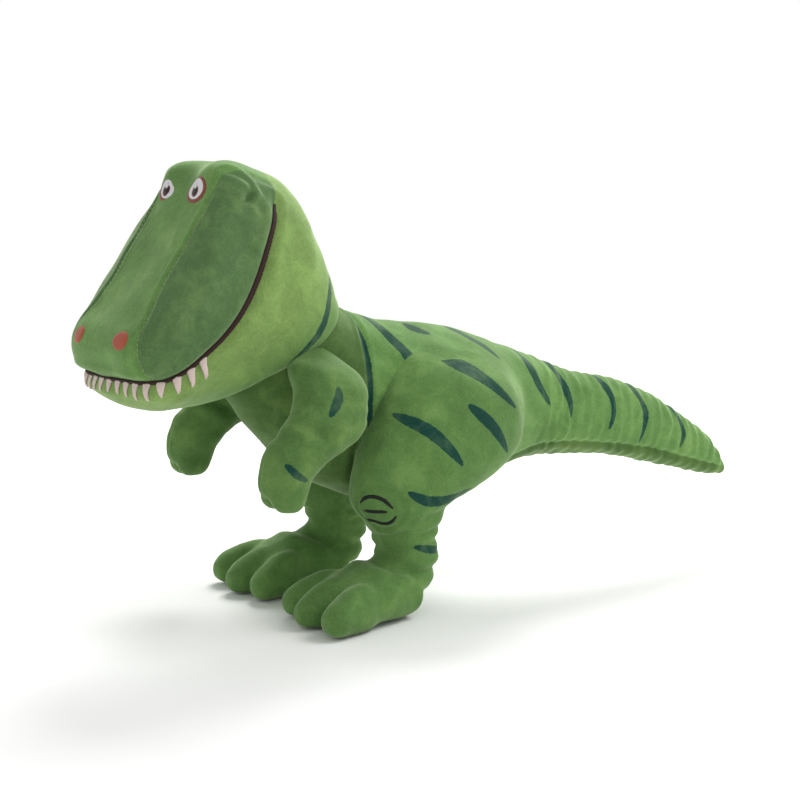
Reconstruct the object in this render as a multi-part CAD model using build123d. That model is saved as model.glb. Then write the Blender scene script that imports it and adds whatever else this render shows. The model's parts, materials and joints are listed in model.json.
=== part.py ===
from build123d import *
from math import copysign, cos, hypot, pi, radians, sin, tan
import os

# A stuffed dinosaur: sewn plush skins over fibre stuffing, standing on two soft feet.
# Millimetres. +X is the way the snout points, +Y the toy's left, +Z up; the soles stand on Z = 0.
# Sections are drawn from an X of zero near the hips, and the finished toy is then moved so that
# X = 0 lies midway between the snout and the tail tip.
# Each stuffed part is a closed form through oval sections. Its skin is that form less a slightly
# smaller one, cut into the sewn panels, and its stuffing is a form that is smaller still.

# Fabric and thread
SKIN = 1.0  # plush fabric with its backing
TUCK = 0.2  # between skin and stuffing
FELT = 0.8  # how far felt and embroidery stand proud of the skin
STITCH_GAP = 0.05  # between a patch and the skin it is sewn to
JOIN_GAP = 0.4  # between two parts that move on each other

# Body and tail
BODY_WIDTH = 118.0  # across the sides where the limbs are sewn on
BELLY_PANEL_WIDTH = 64.0
TAIL_UNDER_WIDTH = 34.0
TAIL_ROOT = (-104.0, 137.0)  # X, Z of the joint
TAIL_ROOT_LEAN = 10.0  # degrees that the tail falls from level there
TAIL_ROOT_BALL = 31.0
TAIL_BEND = (-196.0, 120.0)
TAIL_BEND_LEAN = 13.0
TAIL_BEND_BALL = 23.5
TAIL_GROOVE = 22.0  # degrees that the groove opens at each tail joint

# Neck and head
NECK_PIVOT = (99.0, 191.0)
NECK_LEAN = 31.0  # degrees that the neck rises from level
NECK_BALL = 45.0
NECK_GROOVE = 32.0
HEAD_TURN = 7.0  # degrees that the head looks to the toy's left as it is made
HEAD_WIDTH = 140.0
FOREHEAD_STRIP_WIDTH = 92.0
EYE_WIDTH = 19.0
EYE_HEIGHT = 22.0
EYE_SPACING = 48.0
EYE_LEVEL = 302.0
NOSTRIL_WIDTH = 13.0
NOSTRIL_HEIGHT = 15.0
NOSTRIL_SPACING = 62.0
NOSTRIL_LEVEL = 206.0
MOUTH_CORD = 3.0
TOOTH_LENGTH = 13.0
TOOTH_WIDTH = 7.0
TEETH_IN_FRONT = 5
TEETH_EACH_SIDE = 6
TOOTH_PITCH = 14.0
FIRST_SIDE_TOOTH = 19.0  # from the front of the mouth's side stretch

# Arms and legs
ARM_FULLNESS = 20.0  # half the thickness of the upper arm
LEG_TOP_INBOARD = 68.0  # height of the leg below the belly, clear of it as the leg swings
SHIN_INSET = 6.0  # how far the shin's middle lies inboard of the body's side
SHIN_FULLNESS = 21.0
KNEE_PATCH = 34.0
KNEE_PATCH_CENTRE = (44.0, 82.0)
FOOT_FULLNESS = 33.0
FOOT_HEIGHT = 44.0
FOOT_INSET = 2.0  # how far the foot's middle lies inboard of the body's side
TOE_SPREAD = 23.0
TOE_FULLNESS = 12.5
SOLE = 2.0

SIDE = BODY_WIDTH / 2
LINING = SKIN + TUCK
FAR = 400.0
FACETS = 20  # round each oval
FULLNESS = 2.3  # of the ovals' corners: 2 is a true ellipse

# Sections across the middle of the toy, from back to front: lower point (X, Z), upper point
# (X, Z), and the half width as a share of the whole part's. Each run goes on past its joints,
# which cut it.
TAIL = [
    ((-309, 68), (-306, 74), 0.05),
    ((-303, 66), (-293, 88), 0.15),
    ((-262, 74), (-268, 114), 0.28),
    ((-225, 83), (-229, 138), 0.38),
    ((-184, 92), (-185, 152), 0.45),
    ((-145, 97), (-145, 161), 0.51),
    ((-104, 99), (-106, 174), 0.61),
    ((-62, 88), (-70, 189), 0.80),
]
BODY = [
    ((-128, 98), (-129, 167), 0.55),
    ((-104, 99), (-106, 174), 0.61),
    ((-57, 86), (-70, 189), 0.84),
    ((10, 74), (-35, 199), 1.00),
    ((76, 91), (0, 203), 1.00),
    ((121, 129), (32, 209), 0.92),
    ((141, 166), (57, 217), 0.84),
    ((158, 176), (74, 227), 0.80),
]
HEAD = [
    ((124, 156), (40, 207), 0.68),
    ((141, 166), (57, 217), 0.73),
    ((150, 163), (67, 243), 0.84),
    ((168, 158), (84, 277), 0.94),
    ((188, 156), (112, 307), 1.00),
    ((207, 158), (150, 320), 1.00),
    ((222, 162), (176, 300), 0.97),
    ((233, 168), (196, 264), 0.86),
    ((238, 181), (219, 236), 0.62),
    ((240, 198), (236, 212), 0.20),
]
MOUTH = [(262, 175), (236, 177), (212, 184), (187, 202), (168, 223), (154, 244), (141, 270), (127, 330)]

# Sections of the limbs: back point (X, Z), front point (X, Z), the middle's distance out from the
# body's side, and the half width.
ARM = [
    ((86, 190), (104, 192), 0.8 * ARM_FULLNESS, 0.30 * ARM_FULLNESS),
    ((71, 179), (118, 183), 0.9 * ARM_FULLNESS, 0.85 * ARM_FULLNESS),
    ((72, 160), (124, 163), ARM_FULLNESS, ARM_FULLNESS),
    ((77, 138), (127, 143), ARM_FULLNESS, ARM_FULLNESS),
    ((88, 119), (127, 140), ARM_FULLNESS, 0.95 * ARM_FULLNESS),
    ((108, 111), (136, 134), ARM_FULLNESS, 0.90 * ARM_FULLNESS),
    ((115, 104), (149, 118), ARM_FULLNESS, 0.90 * ARM_FULLNESS),
    ((118, 97), (150, 103), ARM_FULLNESS, 0.80 * ARM_FULLNESS),
    ((126, 91), (143, 92), ARM_FULLNESS, 0.35 * ARM_FULLNESS),
]
LEG = [
    ((-42, 163), (12, 170), 10.0, 0.5 * SHIN_FULLNESS),
    ((-60, 142), (32, 158), 6.0, 1.2 * SHIN_FULLNESS),
    ((-60, 114), (56, 126), 4.0, 1.4 * SHIN_FULLNESS),
    ((-40, 88), (66, 98), 1.0, 1.4 * SHIN_FULLNESS),
    ((-8, 68), (63, 74), 0.4 * -SHIN_INSET, 1.2 * SHIN_FULLNESS),
    ((1, 54), (50, 60), -SHIN_INSET, SHIN_FULLNESS),
    ((5, 36), (48, 44), -SHIN_INSET, SHIN_FULLNESS),
    ((10, 18), (52, 24), -SHIN_INSET, SHIN_FULLNESS),
]
FOOT = [
    ((14, 6), (14, 18), 0.25),
    ((21, -4), (21, 0.75 * FOOT_HEIGHT), 0.72),
    ((46, -6), (46, FOOT_HEIGHT), 0.88),
    ((70, -6), (70, 0.95 * FOOT_HEIGHT), 1.00),
    ((88, -4), (88, 0.75 * FOOT_HEIGHT), 0.96),
    ((101, 4), (101, 0.45 * FOOT_HEIGHT), 0.60),
]
TOE = [
    ((66, -2), (66, 0.8 * FOOT_HEIGHT), 0.8),
    ((86, -4), (86, 0.8 * FOOT_HEIGHT), 1.0),
    ((102, -2), (102, 0.65 * FOOT_HEIGHT), 0.9),
    ((113, 5), (113, 0.35 * FOOT_HEIGHT), 0.4),
]
ANKLE_SEAM = [(-20, 12), (10, 28), (58, 48), (140, 60)]


def oval(low, high, half_width, side, grow):
    """The corners of a slightly squared oval in the plane of the low-high line and Y."""
    length = hypot(high[0] - low[0], high[1] - low[1])
    up = ((high[0] - low[0]) / length, (high[1] - low[1]) / length)
    middle = ((low[0] + high[0]) / 2, (low[1] + high[1]) / 2)
    ring = []
    for i in range(FACETS):
        turn = 2 * pi * (i + 0.5) / FACETS
        out = copysign(abs(cos(turn)) ** (2 / FULLNESS), cos(turn)) * (half_width + grow)
        rise = copysign(abs(sin(turn)) ** (2 / FULLNESS), sin(turn)) * (length / 2 + grow)
        ring.append(Vector(middle[0] + up[0] * rise, side + out, middle[1] + up[1] * rise))
    return ring


def stuffed(sections, grow):
    """A closed form through (low, high, side, half width) sections, larger by `grow` all round."""
    middles = [((low[0] + high[0]) / 2, (low[1] + high[1]) / 2) for low, high, _, _ in sections]
    rings = []
    for i, (low, high, side, half_width) in enumerate(sections):
        shift = (0, 0)
        if i in (0, len(sections) - 1):
            inner = middles[1] if i == 0 else middles[-2]
            step = (middles[i][0] - inner[0], middles[i][1] - inner[1])
            shift = (grow * step[0] / hypot(*step), grow * step[1] / hypot(*step))
        low = (low[0] + shift[0], low[1] + shift[1])
        high = (high[0] + shift[0], high[1] + shift[1])
        rings.append(oval(low, high, half_width, side, grow))
    faces = [Face(Wire.make_polygon(rings[0][::-1])), Face(Wire.make_polygon(rings[-1]))]
    for ring, next_ring in zip(rings, rings[1:]):
        for i in range(FACETS):
            j = (i + 1) % FACETS
            faces.append(Face(Wire.make_polygon([ring[i], ring[j], next_ring[j]])))
            faces.append(Face(Wire.make_polygon([ring[i], next_ring[j], next_ring[i]])))
    return Part() + Solid(Shell(faces))


def shares(sections, half_width, side=0.0):
    return [(low, high, side, share * half_width) for low, high, share in sections]


def ball(pivot, radius):
    return Pos(pivot[0], 0, pivot[1]) * Sphere(radius)


def turned(pivot, rise, points, radius, ends):
    """A solid turned about a joint's axis: its (radius, forward) outline, closed by the ball's arc."""
    first, last = ends
    start = (radius * cos(radians(first)), radius * sin(radians(first)))
    middle = (radius * cos(radians((first + last) / 2)), radius * sin(radians((first + last) / 2)))
    finish = (radius * cos(radians(last)), radius * sin(radians(last)))
    arc = ThreePointArc(start, middle, finish)
    outline = Wire([*Polyline(finish, *points, start).edges(), *arc.edges()])
    return Pos(pivot[0], 0, pivot[1]) * Rot(0, 90 - rise, 0) * revolve(Plane.XZ * Face(outline), Axis.Z)


def socket(pivot, rise, opening, radius):
    """What a part keeps ahead of a joint: clear of the ball and of the groove round it."""
    half = opening / 2
    edge = FAR * tan(radians(half))
    return turned(pivot, rise, [(0, FAR), (FAR, FAR), (FAR, edge)], radius + JOIN_GAP, (half, 90))


def ball_end(pivot, rise, opening, radius):
    """What a part keeps behind a joint: all behind the groove, and the ball itself."""
    half = opening / 2
    edge = FAR * tan(radians(half))
    return turned(pivot, rise, [(0, -FAR), (FAR, -FAR), (FAR, -edge)], radius, (-half, 90))


def across(outline, low=-FAR, high=FAR):
    """A side view outline (X, Z) carried across from Y = low to Y = high."""
    face = Pos(0, low, 0) * (Plane.XZ * Polygon(*outline, align=None))
    return extrude(face, high - low, dir=(0, 1, 0))


def forward(outline, start, side=0.0, level=0.0):
    """A front view face (Y, Z) carried forward from X = start."""
    return extrude(Pos(start, side, level) * (Plane.YZ * outline), 2 * FAR, dir=(1, 0, 0))


def beyond(side, distance):
    """Everything further out than `distance` on the left (+1) or the right (-1)."""
    return Pos(0, side * (distance + FAR), 0) * Box(2 * FAR, 2 * FAR, 2 * FAR)


def main(shape):
    """The largest solid of a cut shape, without slivers."""
    return max(shape.solids(), key=lambda s: s.volume)


def write(name, *shapes):
    solids = [s for shape in shapes for s in shape.solids() if s.volume > 1.0]
    whole = solids[0] if len(solids) == 1 else Compound(children=solids)
    export_step(Pos(-CENTRE, 0, 0) * whole, f"parts/{name}.step")
    print(name, len(solids), "solids", round(sum(s.volume for s in solids)), "mm3")


def turned_left(shape):
    """A piece of the neck or the head, looking to the toy's left about the upright neck joint."""
    return Pos(NECK_PIVOT[0], 0, 0) * Rot(0, 0, HEAD_TURN) * Pos(-NECK_PIVOT[0], 0, 0) * shape


def write_turned(name, *shapes):
    write(name, *[turned_left(shape) for shape in shapes])


def below_middle(sections):
    """The side view below the line through the middles of the sections."""
    line = [((low[0] + high[0]) / 2, (low[1] + high[1]) / 2) for low, high, _ in sections]
    first = (line[0][0] - FAR, line[0][1])
    last = (line[-1][0] + FAR, line[-1][1])
    return [first] + line + [last, (last[0], -FAR), (first[0], -FAR)]


def cut_panels(skin, under, under_width):
    """A trunk skin cut into its under panel and its left and right side panels."""
    strip = across(under, -under_width / 2, under_width / 2)
    sides = skin - strip
    return skin & strip, sides & beyond(1, 0), sides & beyond(-1, 0)


os.makedirs("parts", exist_ok=True)

body_sections = shares(BODY, SIDE)
tail_sections = shares(TAIL, SIDE)
body = stuffed(body_sections, 0)
tail = stuffed(tail_sections, 0)
head_sections = shares(HEAD, HEAD_WIDTH / 2)
head = stuffed(head_sections, 0)
CENTRE = (turned_left(head).bounding_box().max.X + tail.bounding_box().min.X) / 2
print("drawn X of the centre", round(CENTRE, 3))

neck = (NECK_PIVOT, NECK_LEAN, NECK_GROOVE, NECK_BALL)
head_side = socket(*neck)
body_side = socket(NECK_PIVOT, NECK_LEAN + 180, NECK_GROOVE, NECK_BALL)
root = (TAIL_ROOT, TAIL_ROOT_LEAN, TAIL_GROOVE, TAIL_ROOT_BALL)
bend = (TAIL_BEND, TAIL_BEND_LEAN, TAIL_GROOVE, TAIL_BEND_BALL)


def body_span(shape):
    return (shape & socket(*root)) & body_side


def base_span(shape):
    return (shape & ball_end(*root)) & socket(*bend)


def tip_span(shape):
    return shape & ball_end(*bend)


# Body
body_skin = body_span(body - stuffed(body_sections, -SKIN))
belly, left, right = cut_panels(body_skin, below_middle(BODY), BELLY_PANEL_WIDTH)
write("belly_panel", main(belly))
write("left_side_panel", main(left))
write("right_side_panel", main(right))
write("body_stuffing", main(body_span(stuffed(body_sections, -LINING))))

# Tail, in two lengths
tail_skin = tail - stuffed(tail_sections, -SKIN)
tail_filling = stuffed(tail_sections, -LINING)
for name, span in (("tail_base", base_span), ("tail_tip", tip_span)):
    beneath, left, right = cut_panels(span(tail_skin), below_middle(TAIL), TAIL_UNDER_WIDTH)
    write(f"{name}_under_panel", main(beneath))
    write(f"{name}_left_panel", main(left))
    write(f"{name}_right_panel", main(right))
write("tail_base_stuffing", main(base_span(tail_filling)))
write("tail_tip_stuffing", main(tip_span(tail_filling)))

# Neck: a ball of stuffing in a band of skin, which the head and the body close over.
band_width = 2 * NECK_BALL * sin(radians(NECK_GROOVE / 2))
neck_band = Pos(NECK_PIVOT[0], 0, NECK_PIVOT[1]) * Rot(0, 90 - NECK_LEAN, 0) * Box(FAR, FAR, band_width)
neck_skin = (ball(NECK_PIVOT, NECK_BALL) - ball(NECK_PIVOT, NECK_BALL - SKIN)) & neck_band
write_turned("neck_skin", main(neck_skin))
write_turned("neck_stuffing", ball(NECK_PIVOT, NECK_BALL - LINING))


def head_span(shape):
    return shape & head_side


# Head
head_skin = main(head_span(head - stuffed(head_sections, -SKIN)))
write_turned("head_stuffing", main(head_span(stuffed(head_sections, -LINING))))
face_outline = MOUTH + [(MOUTH[-1][0], FAR), (FAR, FAR), (FAR, MOUTH[0][1])]
face = across(face_outline)
strip = across(face_outline, -FOREHEAD_STRIP_WIDTH / 2, FOREHEAD_STRIP_WIDTH / 2)
upper = main(head_skin & face)
jaw = main(head_skin - face)
write_turned("forehead_strip", main(upper & strip))
for side, hand in ((1, "left"), (-1, "right")):
    write_turned(f"{hand}_cheek_panel", main((upper - strip) & beyond(side, 0)))
    write_turned(f"{hand}_jaw_panel", main(jaw & beyond(side, 0)))

# Embroidery and felt lie in one thin layer on the skin.
head_layer = head_span(stuffed(head_sections, FELT) - stuffed(head_sections, STITCH_GAP))


def band(line, half_width):
    """The outline of a side view line made `half_width` wide on each side."""
    upper_edge, lower_edge = [], []
    for i, (x, z) in enumerate(line):
        before, after = line[max(i - 1, 0)], line[min(i + 1, len(line) - 1)]
        run = (after[0] - before[0], after[1] - before[1])
        square = (-run[1] / hypot(*run) * half_width, run[0] / hypot(*run) * half_width)
        upper_edge.append((x + square[0], z + square[1]))
        lower_edge.append((x - square[0], z - square[1]))
    return upper_edge + lower_edge[::-1]


def along_mouth(distance):
    """The point and the run of the mouth line, so far back from where it crosses the snout."""
    for (x, z), (next_x, next_z) in zip(MOUTH[1:], MOUTH[2:]):
        length = hypot(next_x - x, next_z - z)
        if distance <= length:
            run = ((next_x - x) / length, (next_z - z) / length)
            return (x + run[0] * distance, z + run[1] * distance), run
        distance -= length
    return MOUTH[-1], run


write_turned("mouth_cord", main(head_layer & across(band(MOUTH[:-1], MOUTH_CORD / 2))))
gum = MOUTH_CORD / 2 + 0.2
teeth = []
for i in range(TEETH_IN_FRONT):
    y = (i - (TEETH_IN_FRONT - 1) / 2) * TOOTH_PITCH
    root = MOUTH[0][1] - gum
    points = [(y - TOOTH_WIDTH / 2, root), (y, root - 0.8 * TOOTH_LENGTH), (y + TOOTH_WIDTH / 2, root)]
    teeth.append(head_layer & forward(Polygon(*points, align=None), MOUTH[2][0] + TOOTH_LENGTH))
for i in range(TEETH_EACH_SIDE):
    (x, z), run = along_mouth(FIRST_SIDE_TOOTH + i * TOOTH_PITCH)
    down = (run[1], -run[0])
    if down[1] > 0:
        down = (-down[0], -down[1])
    root = (x + down[0] * gum, z + down[1] * gum)
    ends = [(root[0] + s * run[0] * TOOTH_WIDTH / 2, root[1] + s * run[1] * TOOTH_WIDTH / 2) for s in (-1, 1)]
    tip = (root[0] + down[0] * TOOTH_LENGTH, root[1] + down[1] * TOOTH_LENGTH)
    tooth = head_layer & across([ends[0], tip, ends[1]])
    teeth += [tooth & beyond(1, 0), tooth & beyond(-1, 0)]
write_turned("teeth", *teeth)


for side, hand in ((1, "left"), (-1, "right")):
    eye = Ellipse(EYE_WIDTH / 2, EYE_HEIGHT / 2)
    eye = forward(eye, HEAD[5][1][0], side * EYE_SPACING / 2, EYE_LEVEL)
    write_turned(f"{hand}_eye_patch", main(head_layer & eye))
    nostril = Ellipse(NOSTRIL_WIDTH / 2, NOSTRIL_HEIGHT / 2)
    nostril = forward(nostril, MOUTH[2][0], side * NOSTRIL_SPACING / 2, NOSTRIL_LEVEL)
    write_turned(f"{hand}_nostril_patch", main(head_layer & nostril))


# Arms and legs are made on the left and mirrored.
def limb(sections):
    return [(back, front, SIDE + out, half_width) for back, front, out, half_width in sections]


def above(level):
    return Pos(0, 0, level + FAR) * Box(4 * FAR, 4 * FAR, 2 * FAR)


def arm_form(grow):
    return stuffed(limb(ARM), grow) & beyond(1, SIDE + JOIN_GAP - grow)


def leg_form(grow, floor):
    foot_middle = SIDE - FOOT_INSET
    form = stuffed(limb(LEG), grow)
    form += stuffed(shares(FOOT, FOOT_FULLNESS, foot_middle), grow)
    for i in (-1, 0, 1):
        toe = shares(TOE, TOE_FULLNESS, foot_middle + i * TOE_SPREAD)
        form += stuffed(toe, grow)
    form -= beyond(-1, -(SIDE + JOIN_GAP - grow)) & above(LEG_TOP_INBOARD + grow)
    return form & above(floor)


def write_pair(name, shape):
    write(f"left_{name}", shape)
    write(f"right_{name}", mirror(shape, about=Plane.XZ))


arm_skin = arm_form(0) - arm_form(-SKIN)
arm_seam = beyond(1, SIDE + ARM_FULLNESS)
write_pair("arm_outer_panel", main(arm_skin & arm_seam))
write_pair("arm_inner_panel", main(arm_skin - arm_seam))
write_pair("arm_stuffing", main(arm_form(-LINING)))

leg = leg_form(0, 0)
leg_skin = (leg - leg_form(-SKIN, SOLE)) & above(SOLE)
write_pair("sole", main(leg - above(SOLE)))
ankle_cut = across(ANKLE_SEAM + [(FAR, -10), (-FAR, -10), (-FAR, ANKLE_SEAM[0][1])])
write_pair("foot_upper", main(leg_skin & ankle_cut))
side_seam = [(-SHIN_INSET, -10), (-SHIN_INSET, 60), (10, 100), (10, FAR), (FAR, FAR), (FAR, -10)]
seam_outline = [(SIDE + out, height) for out, height in side_seam]
leg_seam = forward(Polygon(*seam_outline, align=None), -FAR / 2)
leg_tube = leg_skin - ankle_cut
write_pair("leg_outer_panel", main(leg_tube & leg_seam))
write_pair("leg_inner_panel", main(leg_tube - leg_seam))
write_pair("leg_stuffing", main(leg_form(-LINING, SOLE + TUCK)))
patch = Pos(KNEE_PATCH_CENTRE[0], SIDE, KNEE_PATCH_CENTRE[1]) * Rot(90, 0, 0) * Cylinder(KNEE_PATCH / 2, FAR)
leg_layer = stuffed(limb(LEG), FELT) - stuffed(limb(LEG), STITCH_GAP)
write_pair("knee_patch", main(leg_layer & patch & beyond(1, SIDE + 5)))
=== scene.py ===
import json
import math

import bmesh
import bpy
import numpy as np
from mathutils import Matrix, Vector
from mathutils.bvhtree import BVHTree


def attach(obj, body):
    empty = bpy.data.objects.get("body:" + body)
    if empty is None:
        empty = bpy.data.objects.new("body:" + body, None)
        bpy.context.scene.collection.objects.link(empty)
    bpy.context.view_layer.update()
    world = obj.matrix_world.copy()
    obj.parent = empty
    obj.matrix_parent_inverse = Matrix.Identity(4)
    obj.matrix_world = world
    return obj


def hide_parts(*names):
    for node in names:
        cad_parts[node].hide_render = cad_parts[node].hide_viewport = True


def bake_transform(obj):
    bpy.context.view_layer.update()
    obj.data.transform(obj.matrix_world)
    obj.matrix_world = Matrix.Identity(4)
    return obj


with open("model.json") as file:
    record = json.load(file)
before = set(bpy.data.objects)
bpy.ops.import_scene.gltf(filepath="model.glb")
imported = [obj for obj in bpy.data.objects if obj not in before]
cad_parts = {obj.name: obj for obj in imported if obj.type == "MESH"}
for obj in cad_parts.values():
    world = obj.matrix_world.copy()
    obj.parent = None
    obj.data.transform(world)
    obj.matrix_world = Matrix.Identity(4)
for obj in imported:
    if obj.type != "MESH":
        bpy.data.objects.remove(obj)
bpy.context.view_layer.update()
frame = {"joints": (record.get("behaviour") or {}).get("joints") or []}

# A sewn plush dinosaur. Patterns are drawn in millimetres from a zero near the hips; PATTERN_X
# carries them to the frame, whose own zero lies midway between snout and tail tip.
MM = 0.001
NECK_X = 99.0
TAIL_ROOT_X, TAIL_BEND_X = -78, -150
NECK_CLOTH_REACH = 36
HEAD_CLOTH_REACH = 30
joints = {j["name"]: j for j in frame["joints"]}
PATTERN_X = joints["neck_turn"]["pos_m"][0] / MM - NECK_X
# the head is made looking a little to the toy's left, about the upright neck joint
nod = joints["head_nod"]["axis"]
HEAD_TURN = math.atan2(-nod[0], nod[1])


def place(points):
    """Pattern millimetres to frame metres."""
    points = np.array(points, float)
    points[..., 0] += PATTERN_X
    return points * MM


def turned(points, share=1.0, about=NECK_X):
    """Points turned with the head, or by a share of it each."""
    angle = HEAD_TURN * np.asarray(share, float)
    c, s = np.cos(angle), np.sin(angle)
    out = np.array(points, float)
    x, y = out[:, 0] - about, out[:, 1].copy()
    out[:, 0] = about + c * x - s * y
    out[:, 1] = s * x + c * y
    return out


def turn_piece(obj):
    """Turns a finished piece with the head."""
    reshape(obj, turned(corners(obj)))


# ---------------------------------------------------------------- camera, floor and light
def aim(obj, at, looking_from):
    direction = np.array(at) - np.array(looking_from)
    yaw = math.atan2(-direction[0], direction[1])
    pitch = math.atan2(math.hypot(direction[0], direction[1]), -direction[2])
    obj.location = looking_from
    obj.rotation_euler = (pitch, 0, yaw)


CAMERA_FROM, CAMERA_AT = (624.5, 1081.3, 314.8), (0, 0, 146)
SENSOR = 36
LENS_TO_SENSOR = 2.125
FLOOR_SIZE = 6
PAPER = (0.92, 0.92, 0.91, 1)
FLOOR_FADES = (0.7, 1.9)
# name, place, disk size, power
LAMPS = (
    ("key", (-1.2, 0.7, 1.7), 1.1, 20),
    ("fill", (1.6, 1.3, 0.9), 1.4, 2.5),
    ("back", (-0.8, -1.2, 1.7), 1.1, 38),
)
LAMPS_AIM = (0, 0, 0.15)
SKY_ON_TOY, SKY_SEEN = 0.68, 1.0


def into_scene(obj):
    bpy.context.scene.collection.objects.link(obj)
    return obj


def studio():
    data = bpy.data.cameras.new("camera")
    data.sensor_width = SENSOR
    data.lens = SENSOR * LENS_TO_SENSOR
    camera = into_scene(bpy.data.objects.new("camera", data))
    aim(camera, place(CAMERA_AT), place(CAMERA_FROM))
    bpy.context.scene.camera = camera

    bpy.ops.mesh.primitive_plane_add(size=FLOOR_SIZE, location=(0, 0, 0))
    floor = bpy.context.object
    floor.name = "floor"
    paper = bpy.data.materials.new("floor_paper")
    paper.use_nodes = True
    tree = paper.node_tree
    # the paper ends softly where the white backdrop starts
    spot = node(tree, "ShaderNodeNewGeometry").outputs["Position"]
    far = node(tree, "ShaderNodeVectorMath", {0: spot}, operation="LENGTH").outputs["Value"]
    near, end = FLOOR_FADES
    edge = {"From Min": near, "From Max": end, "To Min": 1.0, "To Max": 0.0, "Value": far}
    fade = node(tree, "ShaderNodeMapRange", edge, interpolation_type="SMOOTHSTEP")
    shader = tree.nodes["Principled BSDF"]
    for label, value in (("Base Color", PAPER), ("Roughness", 0.9), ("Alpha", fade.outputs[0])):
        feed(tree, shader.inputs[label], value)
    floor.data.materials.append(paper)

    for name, spot, size, power in LAMPS:
        lamp = bpy.data.lights.new(name, "AREA")
        lamp.shape = "DISK"
        lamp.size = size
        lamp.energy = power
        aim(into_scene(bpy.data.objects.new(name, lamp)), LAMPS_AIM, spot)
    world = bpy.data.worlds.new("studio")
    bpy.context.scene.world = world
    world.use_nodes = True
    tree = world.node_tree
    # the backdrop stays white while its light on the toy is softer
    seen = node(tree, "ShaderNodeLightPath").outputs["Is Camera Ray"]
    level = node(tree, "ShaderNodeMapRange", {"To Min": SKY_ON_TOY, "To Max": SKY_SEEN, "Value": seen})
    sky = tree.nodes["Background"]
    feed(tree, sky.inputs["Color"], (1, 1, 1, 1))
    feed(tree, sky.inputs["Strength"], level.outputs[0])
    bpy.context.scene.view_settings.view_transform = "Standard"


# ---------------------------------------------------------------- shared shapes
def smooth(edge0, edge1, x):
    t = np.clip((x - edge0) / (edge1 - edge0), 0, 1)
    return t * t * (3 - 2 * t)


def spline(values, at):
    """Smooth values between given ones, by cubics through them, at positions 0 to 1."""
    values = np.array(values, float)
    count = len(values)
    s = np.clip(np.array(at) * (count - 1), 0, count - 1 - 1e-9)
    i = s.astype(int)
    t = (s - i)[:, None]
    rows = values.reshape(count, -1)
    p0, p1 = rows[np.maximum(i - 1, 0)], rows[i]
    p2, p3 = rows[i + 1], rows[np.minimum(i + 2, count - 1)]
    out = 0.5 * (2 * p1 + (p2 - p0) * t + (2 * p0 - 5 * p1 + 4 * p2 - p3) * t**2
                 + (3 * p1 - p0 - 3 * p2 + p3) * t**3)
    return out


def tube_faces(along, around):
    """The faces of a closed tube, made of rings of points and then its two end points."""
    faces = []
    for i in range(along - 1):
        for j in range(around):
            a, b = i * around + j, i * around + (j + 1) % around
            faces.append([a, b, b + around, a + around])
    end = along * around
    for j in range(around):
        k = (j + 1) % around
        faces.append([end, k, j])
        faces.append([end + 1, end - around + j, end - around + k])
    return faces


def sewn_tube(sections, along, around):
    """A closed skin through sections: low (X, Z), high (X, Z), side, half width, taper, fullness.

    taper narrows the section towards its high side, and fullness over 2 squares it."""
    rows = [(*low, *high, side, half, taper, full) for low, high, side, half, taper, full in sections]
    rows = spline(rows, np.linspace(0, 1, along))
    turn = np.arange(around) * 2 * math.pi / around
    c, s = np.cos(turn), np.sin(turn)
    verts = []
    for lx, lz, hx, hz, side, half, taper, full in rows:
        out = np.sign(c) * np.abs(c) ** (2 / full)
        rise = np.sign(s) * np.abs(s) ** (2 / full)
        width = half * (1 - taper * (rise + 1) / 2)
        t = (rise + 1) / 2
        verts.append(np.stack([lx + (hx - lx) * t, side + out * width, lz + (hz - lz) * t], 1))
    verts = np.concatenate(verts)
    first = verts[:around].mean(0)
    last = verts[-around:].mean(0)
    return np.concatenate([verts, [first, last]]), tube_faces(along, around)


def skin(name, verts, faces):
    """A mesh object from pattern millimetres."""
    mesh = bpy.data.meshes.new(name)
    mesh.from_pydata(place(verts).tolist(), [], faces)
    mesh.validate()
    mesh.polygons.foreach_set("use_smooth", np.ones(len(mesh.polygons), bool))
    return into_scene(bpy.data.objects.new(name, mesh))


def corners(obj):
    """An object's points in pattern millimetres."""
    flat = np.empty(len(obj.data.vertices) * 3)
    obj.data.vertices.foreach_get("co", flat)
    points = flat.reshape(-1, 3) / MM
    points[:, 0] -= PATTERN_X
    return points


def normals(obj):
    flat = np.empty(len(obj.data.vertices) * 3)
    obj.data.vertices.foreach_get("normal", flat)
    return flat.reshape(-1, 3)


def reshape(obj, points):
    obj.data.vertices.foreach_set("co", place(points).ravel())
    obj.data.update()


def copied(obj, name):
    copy = obj.copy()
    copy.data = obj.data.copy()
    copy.name = copy.data.name = name
    return into_scene(copy)


def modified(obj, kind, **settings):
    """Applies one modifier to an object's mesh."""
    mod = obj.modifiers.new("m", kind)
    for key, value in settings.items():
        setattr(mod, key, value)
    graph = bpy.context.evaluated_depsgraph_get()
    mesh = bpy.data.meshes.new_from_object(obj.evaluated_get(graph))
    obj.modifiers.clear()
    old = obj.data
    obj.data = mesh
    bpy.data.meshes.remove(old)
    obj.data.polygons.foreach_set("use_smooth", np.ones(len(obj.data.polygons), bool))
    return obj


def joined(name, parts):
    """Several shells gathered in one mesh object."""
    verts, faces, base = [], [], 0
    for v, f in parts:
        verts.append(v)
        faces += [[i + base for i in face] for face in f]
        base += len(v)
    return skin(name, np.concatenate(verts), faces)


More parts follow.
